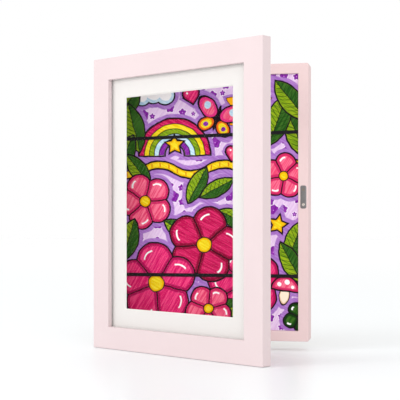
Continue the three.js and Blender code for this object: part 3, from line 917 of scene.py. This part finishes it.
def felt_pen_drawing(name, middle, low, high):
    """The material of one tile, from its lowest to its highest corner."""
    art = Drawing(name, middle, low, high)
    dark_pink, dark_rose, dark_wine = tint(176, 18, 84), tint(205, 40, 96), tint(140, 10, 52)
    forest = tint(20, 58, 14)
    gold = (tint(236, 176, 0), art.yellow)
    shapes = [
        (art.cloud, -76, 150, 30),
        (art.rainbow, -46, 66, 50, 7),
        (art.sun, 58, 128, 34, 20, 11),
        (art.ribbon, None, 46, 11.2, 4.2, 92),
        (art.butterfly, 14, 116, 33, -18),
        (art.star, -46, 80, 12, 20),
        (art.star, 66, 76, 15, 50),
        (art.star, 98, -30, 12, 5),
        (art.heart, -22, 146, 11, 12, dark_pink, art.magenta),
        (art.heart, 36, 66, 10, -16, dark_pink, art.rose),
        (art.leaf, -14, 24, 27, 11, 62),
        (art.leaf, 14, 20, 26, 10, 28),
        (art.leaf, -116, 136, 32, 14, 52),
        (art.leaf, -104, 104, 34, 14, 104),
        (art.leaf, -118, 66, 30, 13, 66),
        (art.leaf, -98, 46, 26, 11, 128),
        (art.leaf, 124, 92, 34, 14, 112),
        (art.leaf, 98, 112, 36, 15, 70),
        (art.leaf, 116, 138, 34, 14, 128),
        (art.leaf, 122, -52, 30, 13, 66),
        (art.leaf, 116, -82, 30, 12, 118),
        (art.leaf, 42, -24, 28, 11, -28),
        (art.blossom, 106, 36, 30, 10, 5, dark_rose, art.rose, gold),
        (art.blossom, -88, 2, 38, 40, 5, dark_rose, art.rose, gold),
        (art.blossom, 52, -110, 50, 30, 5, dark_pink, art.magenta, gold),
        (art.mushroom, 108, -118, 19, -8, dark_rose, art.rose),
        (art.leaf, -34, -40, 30, 12, 150),
        (art.leaf, -112, -52, 30, 13, 74),
        (art.leaf, 26, -146, 30, 12, 196),
        (art.blossom, -4, -58, 52, 4, 5, dark_wine, art.crimson, gold),
        (art.blossom, -72, -112, 56, 22, 5, dark_pink, art.magenta, gold),
        (art.blossom, 2, -146, 32, 50, 5, dark_rose, art.rose, gold),
        (art.blossom, 126, -156, 20, 20, 4, forest, art.green, None, 2.6),
    ]
    for draw, u, v, reach, *rest in shapes:
        if art.reaches(u, v, reach):
            draw(u, v, reach, *rest)
    relief = art.bump(art.noise(2.2, 3), 0.02)
    return art.coated(art.picture, 0.75, relief, Specular_IOR_Level=0.08)


finishes = {
    "acrylic": clear_acrylic("clear_acrylic"),
    "mat": mat_board("mat_board"),
    "zinc": plated_steel("zinc_steel", tint(176, 178, 180), 0.28, 0.5),
    "bright": plated_steel("bright_screw", tint(240, 232, 220), 0.18, 0.32),
    "painted_dim": plated_steel("painted_dim_screw", tint(140, 128, 116), 0.4, 0.6),
    "strike": plated_steel("strike_steel", tint(128, 127, 127), 0.32, 0.5),
    "magnet": magnet_grey("magnet"),
    "plastic": moulded_plastic("white_plastic", tint(232, 230, 227)),
    "elastic": woven_elastic("elastic"),
    "paper": paper("plain_paper", tint(240, 237, 231), 1.3),
    "hardboard": pressed_hardboard("hardboard"),
    "foam": open_foam("foam"),
    "rubber": clear_rubber("bumper"),
}
for body, pink in (("door", tint(221, 204, 205)), ("case", tint(227, 202, 201))):
    for grain in ("upright", "level"):
        paint = sprayed_paint(f"{body}_paint_{grain}", pink, grain == "level")
        finishes[f"{body}_{grain}"] = paint


# Mouldings
def ring(name, low, high, opening, rebate, rebate_depth):
    """A rectangle of moulding with an opening right through it and a wider rebate at the back."""
    whole = block(name, low, high)
    centre = (low + high) / 2

    def central(y):
        def test(face):
            middle = face.calc_center_median() - centre
            apart = math.hypot(middle.x, middle.z)
            return apart < TINY and abs(middle.y - (y - centre.y)) < TINY
        return test

    floor = high.y - rebate_depth
    inset(whole, central(high.y), rebate)
    extrude(whole, central(high.y), (0, -rebate_depth, 0))
    inset(whole, central(floor), opening - rebate)
    inset(whole, central(low.y), opening)

    def both(face):
        return central(floor)(face) or central(low.y)(face)

    return shape(whole, "FACE", both, bpy.ops.mesh.bridge_edge_loops)


def soften(whole, low, high, corner_radius, arris):
    """Rounds a ring's outer corners and eases the edges that a hand meets."""
    def outer_corner(edge):
        first = edge.verts[0].co
        at_x = min(abs(first.x - low.x), abs(first.x - high.x)) < TINY
        at_z = min(abs(first.z - low.z), abs(first.z - high.z)) < TINY
        return runs_deep(edge) and at_x and at_z

    def face_edge(edge):
        return is_sharp(edge) and (lies_at(edge, 1, low.y) or lies_at(edge, 1, high.y))

    bevel(whole, outer_corner, corner_radius, 6)
    bevel(whole, face_edge, arris, 3)


def build_bars(body, bars, width, rebate, rebate_depth, corner_radius, arris, seats):
    """A ring of moulding cut at 45 degrees into four bars, with the seats of what is let into them."""
    low, high = shut_box(*[node for node, name in bars.values()])
    whole = ring(f"{body}_ring", low, high, width, width - rebate, rebate_depth)
    soften(whole, low, high, corner_radius, arris)
    corners = {
        "hinge": [(low.x, low.z, 1, -1), (low.x, high.z, 1, 1)],
        "latch": [(high.x, low.z, -1, -1), (high.x, high.z, -1, 1)],
        "bottom": [(low.x, low.z, -1, 1), (high.x, low.z, 1, 1)],
        "top": [(low.x, high.z, -1, -1), (high.x, high.z, 1, -1)],
    }
    for side, planes in corners.items():
        node, name = bars[side]
        bar = copy_of(whole, name)
        for x, z, across, up in planes:
            trim(bar, (x, 0, z), (across, 0, up))
        combine(bar, seats.get(side, []))
        grain = "upright" if side in SIDES else "level"
        place(bar, node, finishes[f"{body}_{grain}"])
    remove(whole)


def rounded_seat(node, radius, front):
    """A block that cuts the seat of a node with round corners, open to the front or to the back."""
    low, high = shut_box(node)
    margin = Vector((FIT, 0, FIT))
    low, high = low - margin, high + margin
    if front:
        low.y -= PAST
    else:
        high.y += PAST
    return bevel(block("seat", low, high), runs_deep, radius, 8)


def hinge_seats(kind):
    """The seats of one board's two hinge leaves. A leaf's box takes in the barrel, which stands clear."""
    seats = []
    for row in ROWS:
        low, high = shut_box(f"hinge_{row}_{kind}_leaf")
        if kind == "case":
            low = Vector((low.x - PAST, low.y - PAST, low.z))
        else:
            high = Vector((high.x, high.y + PAST, high.z))
        seats.append(block("leaf_seat", low - FIT_ALL_ROUND, high + FIT_ALL_ROUND))
    return seats


def build_door_moulding():
    bars = {
        "hinge": ("door_stile_hinge", "stile_hinge_side"),
        "latch": ("door_stile_latch", "stile_latch_side"),
        "bottom": ("door_rail_bottom", "rail_bottom"),
        "top": ("door_rail_top", "rail_top"),
    }
    seats = {
        "hinge": hinge_seats("door"),
        "latch": [rounded_seat("catch_housing", HOUSING_CORNER, False)],
    }
    low, high = shut_box("door_rail_top")
    rebate_depth = high.y - low.y - LIP_DEPTH
    build_bars("door", bars, FACE_WIDTH, DOOR_REBATE, rebate_depth, DOOR_CORNER, DOOR_ARRIS, seats)


def build_case_boards():
    bars = {
        "hinge": ("case_side_hinge", "board_hinge_side"),
        "latch": ("case_side_latch", "board_latch_side"),
        "bottom": ("case_bottom", "board_bottom"),
        "top": ("case_top", "board_top"),
    }
    seats = {
        "hinge": hinge_seats("case") + strap_slots(),
        "latch": [rounded_seat("strike_plate", STRIKE_CORNER, True)] + strap_slots(),
    }
    build_bars("case", bars, WALL, CASE_REBATE, PANEL_REBATE_DEPTH, CASE_CORNER, CASE_ARRIS, seats)


# Straps
def strap_turn(node):
    """From a level strap with its middle at the origin to where the strap lies."""
    tilt = Matrix.Rotation(-STRAP_TILTS[node], 4, "Y")
    return Matrix.Translation(middle_of(node)) @ tilt


def strap_size(node):
    low, high = shut_box(node)
    tilt = STRAP_TILTS[node]
    length = (high.x - low.x - STRAP_WIDTH * math.sin(tilt)) / math.cos(tilt)
    return Vector((length, high.y - low.y, STRAP_WIDTH))


def strap_slots():
    slots = []
    for node in STRAP_TILTS:
        half = strap_size(node) / 2 + FIT_ALL_ROUND
        slot = block("slot", -half, half)
        slot.data.transform(strap_turn(node))
        slots.append(slot)
    return slots


def build_straps():
    for node in STRAP_TILTS:
        size = strap_size(node)
        pitch = size.z / STRAP_CORDS
        half = Vector((size.x / 2, size.y / 2, pitch / 2))
        cord = block("cord", -half, half)
        bevel(cord, lambda edge: runs_along(edge, 0), CORD_ROUNDING, 2)
        cords = []
        for row in range(STRAP_CORDS):
            rise = (row - (STRAP_CORDS - 1) / 2) * pitch
            cords.append(copy_of(cord, f"cord_{row}", Matrix.Translation((0, 0, rise))))
        remove(cord)
        strap = merge(cords, node.replace("elastic_strap", "strap"))
        strap.data.transform(strap_turn(node))
        place(strap, node, finishes["elastic"])


# Fasteners
TURN_ABOUT = Matrix.Rotation(math.pi, 4, "Z")


def make_screw(head, head_depth, shank, length):
    """A countersunk cross-head screw, its head's face at y = 0 and its point away from the viewer."""
    screw = drum("screw", (0, head_depth / 2, 0), head, head_depth, 40)

    def back(y):
        return lambda face: faces_back(face) and abs(face.calc_center_median().y - y) < TINY

    taper(screw, back(head_depth), shank / head, head_depth)
    extrude(screw, back(head_depth), (0, length - head_depth - shank, 0))
    extrude(screw, back(length - shank), (0, shank, 0))
    taper(screw, back(length), SCREW_END, length)
    bevel(screw, lambda edge: lies_at(edge, 1, 0), HEAD_EASE * head, 2)
    arm, thin, deep = CROSS_REACH * head, CROSS_HALF_WIDTH * head, CROSS_DEPTH * head
    for wide, tall in ((arm, thin), (thin, arm)):
        slit = block("slit", (-wide, -deep, -tall), (wide, deep, tall))
        combine(screw, [taper(slit, faces_back, CROSS_FLOOR, deep)])
    return screw


def make_nail():
    """A pin with a low domed head, whose middle is at the origin."""
    half = NAIL_HEAD_HEIGHT / 2
    nail = drum("nail", (0, 0, 0), NAIL_HEAD, NAIL_HEAD_HEIGHT)
    bevel(nail, lambda edge: lies_at(edge, 1, -half), NAIL_DOME, 4)
    inset(nail, faces_back, NAIL_HEAD - NAIL_SHANK)

    def inner_back(face):
        middle = face.calc_center_median()
        return faces_back(face) and math.hypot(middle.x, middle.z) < TINY

    return extrude(nail, inner_back, (0, NAIL_LENGTH - 2 * half, 0))


def head_spot(node, on_front):
    """The middle of a screw's head, on the face that it is driven into."""
    low, high = shut_box(node)
    middle = middle_of(node)
    middle.y = low.y if on_front else high.y
    return middle


def fasteners():
    """Each screw's node, its set and whether it is driven in from the front."""
    rows = []
    for level in ROWS:
        for end in ("low", "high"):
            rows.append((f"hinge_{level}_case_screw_{end}", "leaf", True))
            rows.append((f"hinge_{level}_door_screw_{end}", "leaf", False))
        rows.append((f"strike_screw_{level}", "strike", True))
        rows.append((f"catch_screw_{level}", "housing", False))
        for side in SIDES:
            rows.append((f"panel_screw_{side}_{level}", "panel", False))
    return rows


def build_screws():
    patterns = {name: make_screw(*sizes) for name, sizes in SCREW_SETS.items()}
    for count, (node, kind, on_front) in enumerate(fasteners()):
        head = head_spot(node, on_front)
        twist = Matrix.Rotation(math.radians(SCREW_TWIST * count), 4, "Y")
        about = Matrix.Identity(4) if on_front else TURN_ABOUT
        screw = copy_of(patterns[kind], node.replace("_screw", "_fixing"),
                        Matrix.Translation(head) @ about @ twist)
        # The upper strike screw takes a darker, browner copy of the screw finish than its twin below:
        # painted shade that keeps it dim beside the bright one
        finish = "painted_dim" if node == "strike_screw_upper" else "bright"
        place(screw, node, finishes[finish])
    for pattern in patterns.values():
        remove(pattern)


def screw_sink(node, kind, on_front):
    """A shallow round cut that leaves a hairline round a screw's head."""
    return drum("sink", head_spot(node, on_front), SCREW_SETS[kind][0] + HEAD_PLAY, SINK_DEPTH, 40)


# Hinges
def build_leaf(row, kind):
    """A leaf with its knuckles: two on the case's, with room between them for the one on the door's."""
    node = f"hinge_{row}_{kind}_leaf"
    on_case = kind == "case"
    low, high = shut_box(node)
    pin = middle_of(f"hinge_{row}_pin")
    front, back = (high.y - LEAF, high.y) if on_case else (low.y, low.y + LEAF)
    leaf = block(f"{kind}_leaf_{row}", (pin.x, front, low.z), (high.x, back, high.z))
    bevel(leaf, lambda edge: runs_deep(edge) and lies_at(edge, 0, high.x), SMALL_EASE, 4)
    third = (high.z - low.z) / 3
    radius = (high.y - low.y) / 2
    outer, inner = [low.z + third / 2, high.z - third / 2], [pin.z]
    barrels = []
    for height in outer if on_case else inner:
        middle = (pin.x, pin.y, height)
        barrel = drum("barrel", middle, radius, third - KNUCKLE_PLAY, 40, upright=True)
        barrels.append(bevel(barrel, upright_rim, BARREL_EASE, 2))
    reach = Vector((radius + KNUCKLE_PLAY, radius + KNUCKLE_PLAY, (third + KNUCKLE_PLAY) / 2))
    rooms = []
    for height in inner if on_case else outer:
        middle = Vector((pin.x, pin.y, height))
        rooms.append(block("room", middle - reach, middle + reach))
    combine(leaf, rooms)
    combine(leaf, barrels, "UNION")
    bore = drum("bore", pin, PIN_RADIUS + KNUCKLE_PLAY, 2 * (high.z - low.z), upright=True)
    combine(leaf, [bore])
    for end in ("low", "high"):
        combine(leaf, [screw_sink(f"hinge_{row}_{kind}_screw_{end}", "leaf", on_case)])
    place(leaf, node, finishes["zinc"])


def build_pin(row):
    node = f"hinge_{row}_pin"
    low, high = shut_box(node)
    middle = middle_of(node)
    length = high.z - low.z - PIN_HEAD_HEIGHT
    pin = drum(f"pin_{row}", middle, PIN_RADIUS, length, upright=True)
    heads = []
    for rise in (-length / 2, length / 2):
        spot = middle + Vector((0, 0, rise))
        head = drum("head", spot, PIN_HEAD, PIN_HEAD_HEIGHT, upright=True)
        heads.append(bevel(head, upright_rim, PIN_HEAD_EASE, 3))
    combine(pin, heads, "UNION")
    place(pin, node, finishes["bright"])


# Catch and points
def build_strike():
    low, high = shut_box("strike_plate")
    plate = block("catch_strike", (low.x, low.y + STRIKE_PROUD, low.z), high)
    bevel(plate, runs_deep, STRIKE_CORNER, 8)
    inset(plate, faces_front, STRIKE_RIM, STRIKE_PROUD)
    for row in ROWS:
        combine(plate, [screw_sink(f"strike_screw_{row}", "strike", True)])
    place(plate, "strike_plate", finishes["strike"])


def build_magnet():
    """The magnet, in a housing with a pocket for it."""
    low, high = shut_box("catch_housing")
    housing = block("catch_cup", low, high)
    bevel(housing, runs_deep, HOUSING_CORNER, 8)
    bevel(housing, sharp_at(high.y), HOUSING_EASE, 3)
    low, high = shut_box("catch_magnet")
    pocket = block("pocket", low - Vector((FIT, 0, FIT)), high + Vector((FIT, PAST, FIT)))
    combine(housing, [pocket])
    for row in ROWS:
        combine(housing, [screw_sink(f"catch_screw_{row}", "housing", False)])
    place(housing, "catch_housing", finishes["plastic"])
    magnet = block("catch_bar", low, high)
    bevel(magnet, is_sharp, SMALL_EASE, 3)
    place(magnet, "catch_magnet", finishes["magnet"])


def build_points():
    for side in ("hinge_lower", "hinge_upper", "latch_lower", "latch_upper", "bottom", "top"):
        node = f"point_{side}"
        point = block(f"mat_{node}", *shut_box(node))
        bevel(point, runs_deep, POINT_CORNER, 5)
        bevel(point, is_sharp, POINT_EASE, 1)
        place(point, node, finishes["zinc"])


# Contents
def build_stack():
    """The stored drawings, a stack whose sheets don't lie quite true."""
    low, high = shut_box("stored_drawings")
    chance = random.Random(7)
    step = (high.y - low.y) / SHEET_GROUPS
    groups = []
    for count in range(SHEET_GROUPS):
        margin = Vector((SHEET_SHIFT, 0, SHEET_SHIFT))
        shift = Vector((chance.uniform(-1, 1) * SHEET_SHIFT, 0, chance.uniform(-1, 0.6) * SHEET_SHIFT))
        front = low.y + count * step
        corner = Vector((low.x, front, low.z)) + margin + shift
        far = Vector((high.x, front + SHEET_SHARE * step, high.z)) - margin + shift
        groups.append(block(f"sheets_{count}", corner, far))
    place(merge(groups, "drawing_stack"), "stored_drawings", finishes["paper"])


def build_foam():
    """The two foam blocks that press the drawings forward."""
    for side in SIDES:
        node = f"foam_block_{side}"
        low, high = shut_box(node)
        foam = block(f"foam_pad_{side}", low + FOAM_EASE, high - FOAM_EASE)
        bevel(foam, everything, FOAM_ROUNDING, 3)
        modify(foam, "REMESH", mode="VOXEL", voxel_size=FOAM_VOXEL)
        pores = bpy.data.textures.new("pores", "CLOUDS")
        pores.noise_scale = PORE_SIZE
        modify(foam, "DISPLACE", texture=pores, texture_coords="LOCAL", strength=PORE_DEPTH)
        place(foam, node, finishes["foam"], FOAM_SMOOTH_ANGLE, weighted=False)


def build_drawing():
    """The front sheet, in tiles that each draw only the shapes near them."""
    low, high = shut_box("front_drawing")
    middle = (low + high) / 2
    sheet = block("drawn_sheet", low - SHEET_EASE, high + SHEET_EASE)
    for across in TILE_COLUMNS[1:-1]:
        split(sheet, (middle.x + across * MM, 0, 0), (1, 0, 0))
    for up in TILE_ROWS[1:-1]:
        split(sheet, (0, 0, middle.z + up * MM), (0, 0, 1))
    place(sheet, "front_drawing", finishes["paper"])
    for left, right in zip(TILE_COLUMNS, TILE_COLUMNS[1:]):
        for bottom, top in zip(TILE_ROWS, TILE_ROWS[1:]):
            slot = len(sheet.data.materials)
            tile = felt_pen_drawing(f"felt_pen_{slot}", middle, (left, bottom), (right, top))
            sheet.data.materials.append(tile)
            for face in sheet.data.polygons:
                spot = (face.center - middle) / MM
                if faces_front(face) and left < spot.x < right and bottom < spot.z < top:
                    face.material_index = slot


# Back of the case: hangers and bumpers
def make_hanger():
    """A sawtooth hanger lying on y = 0, with its teeth down and its middle at the origin."""
    low, high = shut_box("hanger_top")
    half, wide = (high.x - low.x) / 2, (high.z - low.z) / 2
    strip = block("hanger", (-half, 0, -wide), (half, HANGER_THICK, wide))
    bevel(strip, runs_deep, HANGER_CORNER, 6)
    raised = half - HANGER_TAB - HANGER_SLOPE
    for x in (HANGER_TAB - half, -raised, raised, half - HANGER_TAB):
        split(strip, (x, 0, 0), (1, 0, 0))
    shape(strip, "VERT", lambda vertex: abs(vertex.co.x) < raised + TINY,
          bpy.ops.transform.translate, value=(0, HANGER_RISE, 0))
    notch = drum("notch", (0, 0, 0), NOTCH_HALF, NOTCH_TOOL, 4)
    stretch = Matrix.Diagonal((1, 1, NOTCH_DEPTH / NOTCH_HALF, 1))
    notches = []
    for count in range(NOTCHES):
        x = (count - (NOTCHES - 1) / 2) * NOTCH_PITCH
        notches.append(copy_of(notch, "tooth", Matrix.Translation((x, 0, -wide)) @ stretch))
    remove(notch)
    return combine(strip, notches)


def build_hangers():
    hanger = make_hanger()
    nail = make_nail()
    for name, turn in (("top", 0), ("side", -math.pi / 2)):
        low, high = shut_box(f"hanger_{name}")
        middle = middle_of(f"hanger_{name}")
        seat = low.y - BACK_SEAT
        move = Matrix.Translation((middle.x, seat, middle.z)) @ Matrix.Rotation(turn, 4, "Y")
        place(copy_of(hanger, f"sawtooth_{name}", move), f"hanger_{name}", finishes["zinc"])
        for row in ("a", "b"):
            node = f"hanger_{name}_nail_{row}"
            spot = middle_of(node)
            spot.y = seat + HANGER_THICK + NAIL_STANDS
            pin = copy_of(nail, f"sawtooth_{name}_pin_{row}", Matrix.Translation(spot) @ TURN_ABOUT)
            place(pin, node, finishes["bright"])
    remove(hanger)
    remove(nail)


def build_bumpers():
    for side in SIDES:
        for row in ROWS:
            node = f"bumper_{side}_{row}"
            low, high = shut_box(node)
            middle = middle_of(node)
            depth = high.y - low.y + BACK_SEAT
            middle.y = high.y - depth / 2
            pad = drum(f"pad_{side}_{row}", middle, (high.x - low.x) / 2, depth, 40)
            bevel(pad, sharp_at(high.y), BUMPER_ROUNDING, 6)
            place(pad, node, finishes["rubber"])


build_door_moulding()
build_case_boards()
build_straps()
for row in ROWS:
    build_leaf(row, "case")
    build_leaf(row, "door")
    build_pin(row)
build_screws()
build_strike()
build_magnet()
build_points()
build_stack()
build_foam()
build_drawing()
build_hangers()
build_bumpers()

# Nodes that keep their shape
dress(nodes["door_pane"].data, finishes["acrylic"])
dress(nodes["door_mat"].data, finishes["mat"])
dress(nodes["back_panel"].data, finishes["hardboard"])
dress(nodes["support_board"].data, finishes["hardboard"])


# Camera, level and to the right, with the frame set lower in the picture by a shift
CAMERA_PLACE = Vector((0.296737, -1.377638, 0.1788))
CAMERA_TURN = math.radians(11.63)
CAMERA_SENSOR = 36
CAMERA_LENS = 96.345
CAMERA_SHIFT = 0.04675


def hang(name, data, location, turn):
    """Puts a camera or a lamp in the scene."""
    fitting = bpy.data.objects.new(name, data)
    bpy.context.scene.collection.objects.link(fitting)
    fitting.location = location
    fitting.rotation_euler = turn
    return fitting


camera_data = bpy.data.cameras.new("camera")
camera_data.sensor_width = CAMERA_SENSOR
camera_data.lens = CAMERA_LENS
camera_data.shift_y = CAMERA_SHIFT
bpy.context.scene.camera = hang("camera", camera_data, CAMERA_PLACE, (math.pi / 2, 0, CAMERA_TURN))


# Floor and light
FLOOR_GAP = 0.4 * MM  # for the dark line that shows under the door
FLOOR_SIZE = 12
FLOOR_MIDDLE = (0, 2, -FLOOR_GAP)
LIT_SPOT = Vector((0, 0, 0.2))


def lay_floor():
    deselect()
    bpy.ops.mesh.primitive_plane_add(size=FLOOR_SIZE, location=FLOOR_MIDDLE)
    floor = settle("floor")
    floor.data.materials.append(white_floor("white_floor"))


def soft_light(name, location, size, power):
    data = bpy.data.lights.new(name, "AREA")
    data.shape = "SQUARE"
    data.size = size
    data.energy = power
    aim = LIT_SPOT - Vector(location)
    hang(name, data, location, aim.to_track_quat("-Z", "Y").to_euler())


lay_floor()
soft_light("key_light", (-2.16, -1.51, 1.16), 1.2, 21)
soft_light("fill_light", (0.95, -2.54, 0.9), 1.6, 15)
world = bpy.data.worlds.new("studio")
world.use_nodes = True
surround = world.node_tree.nodes["Background"]
surround.inputs["Color"].default_value = (1, 1, 1, 1)
surround.inputs["Strength"].default_value = 1.0
bpy.context.scene.world = world
bpy.context.scene.view_settings.view_transform = "Standard"
